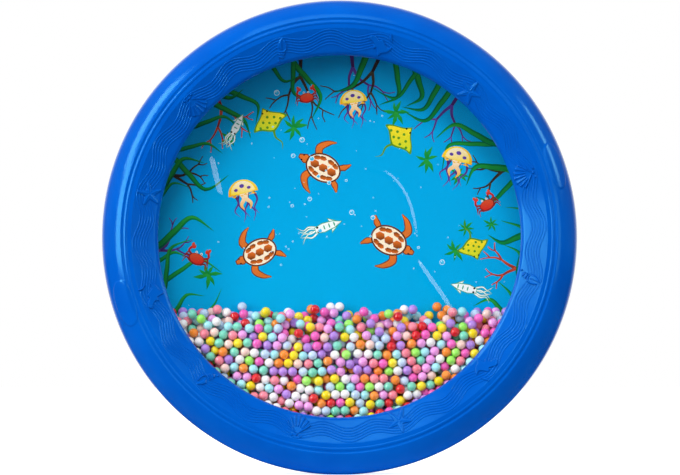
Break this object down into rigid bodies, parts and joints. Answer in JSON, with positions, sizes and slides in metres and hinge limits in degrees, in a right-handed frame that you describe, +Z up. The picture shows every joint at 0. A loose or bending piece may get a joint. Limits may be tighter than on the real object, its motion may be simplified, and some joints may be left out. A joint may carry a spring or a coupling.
{
  "type": "percussion shaker",
  "caption": "Round frame drum shaker with a clear front head, a printed rear head and coloured beads that run round between them when it is tilted.",
  "frame": {"origin": "bottom of the rim, midway front to back, under the drum's centre", "axes": "+Z up, the drum standing on its rim; -Y out of the clear front head; +Y along the drum's axis out of the printed rear head"},
  "size_m": [0.1998, 0.034, 0.1998],
  "materials": {
    "blue_abs": "gloss",
    "hoop_plastic": "gloss",
    "clear_film": "clear gloss film",
    "printed_film": "printed gloss film",
    "screw_steel": "plated",
    "bead_mix": "gloss",
    "bead_mint": "gloss",
    "bead_coral": "gloss",
    "bead_sky": "gloss",
    "bead_yellow": "gloss",
    "bead_orchid": "gloss",
    "bead_red": "gloss",
    "bead_white": "gloss",
    "bead_pink": "gloss",
    "bead_lime": "gloss",
    "bead_violet": "gloss",
    "bead_orange": "gloss",
    "bead_aqua": "gloss",
    "bead_peach": "gloss"
  },
  "bodies": {
    "drum": {"front_frame": "blue_abs", "rear_frame": "blue_abs", "track_hoop": "hoop_plastic", "clear_head": "clear_film", "printed_head": "printed_film", "clear_head_ring": "hoop_plastic", "printed_head_ring": "hoop_plastic", "screw_1": "screw_steel", "screw_2": "screw_steel", "screw_3": "screw_steel", "screw_4": "screw_steel", "screw_5": "screw_steel", "screw_6": "screw_steel", "screw_7": "screw_steel", "screw_8": "screw_steel"},
    "bead_pile": {"bead_pile": "bead_mix"},
    "loose_bead_mint": {"loose_bead_mint": "bead_mint"},
    "loose_bead_coral": {"loose_bead_coral": "bead_coral"},
    "loose_bead_sky": {"loose_bead_sky": "bead_sky"},
    "loose_bead_yellow": {"loose_bead_yellow": "bead_yellow"},
    "loose_bead_orchid": {"loose_bead_orchid": "bead_orchid"},
    "loose_bead_red": {"loose_bead_red": "bead_red"},
    "loose_bead_white": {"loose_bead_white": "bead_white"},
    "loose_bead_pink": {"loose_bead_pink": "bead_pink"},
    "loose_bead_lime": {"loose_bead_lime": "bead_lime"},
    "loose_bead_violet": {"loose_bead_violet": "bead_violet"},
    "loose_bead_orange": {"loose_bead_orange": "bead_orange"},
    "loose_bead_aqua": {"loose_bead_aqua": "bead_aqua"},
    "loose_bead_peach": {"loose_bead_peach": "bead_peach"}
  },
  "joints": [
    {"name": "bead_flow", "type": "hinge", "parent": "drum", "child": "bead_pile", "pos_m": [0, 0, 0.09988], "axis": [0, 1, 0], "continuous": true},
    {"name": "hop_mint", "type": "slide", "parent": "bead_pile", "child": "loose_bead_mint", "axis": [0, 0, 1], "range_m": [0, 0.088]},
    {"name": "hop_coral", "type": "slide", "parent": "bead_pile", "child": "loose_bead_coral", "axis": [0, 0, 1], "range_m": [0, 0.096]},
    {"name": "hop_sky", "type": "slide", "parent": "bead_pile", "child": "loose_bead_sky", "axis": [0, 0, 1], "range_m": [0, 0.101]},
    {"name": "hop_yellow", "type": "slide", "parent": "bead_pile", "child": "loose_bead_yellow", "axis": [0, 0, 1], "range_m": [0, 0.109]},
    {"name": "hop_orchid", "type": "slide", "parent": "bead_pile", "child": "loose_bead_orchid", "axis": [0, 0, 1], "range_m": [0, 0.113]},
    {"name": "hop_red", "type": "slide", "parent": "bead_pile", "child": "loose_bead_red", "axis": [0, 0, 1], "range_m": [0, 0.113]},
    {"name": "hop_white", "type": "slide", "parent": "bead_pile", "child": "loose_bead_white", "axis": [0, 0, 1], "range_m": [0, 0.112]},
    {"name": "hop_pink", "type": "slide", "parent": "bead_pile", "child": "loose_bead_pink", "axis": [0, 0, 1], "range_m": [0, 0.114]},
    {"name": "hop_lime", "type": "slide", "parent": "bead_pile", "child": "loose_bead_lime", "axis": [0, 0, 1], "range_m": [0, 0.113]},
    {"name": "hop_violet", "type": "slide", "parent": "bead_pile", "child": "loose_bead_violet", "axis": [0, 0, 1], "range_m": [0, 0.108]},
    {"name": "hop_orange", "type": "slide", "parent": "bead_pile", "child": "loose_bead_orange", "axis": [0, 0, 1], "range_m": [0, 0.101]},
    {"name": "hop_aqua", "type": "slide", "parent": "bead_pile", "child": "loose_bead_aqua", "axis": [0, 0, 1], "range_m": [0, 0.097]},
    {"name": "hop_peach", "type": "slide", "parent": "bead_pile", "child": "loose_bead_peach", "axis": [0, 0, 1], "range_m": [0, 0.088]}
  ]
}
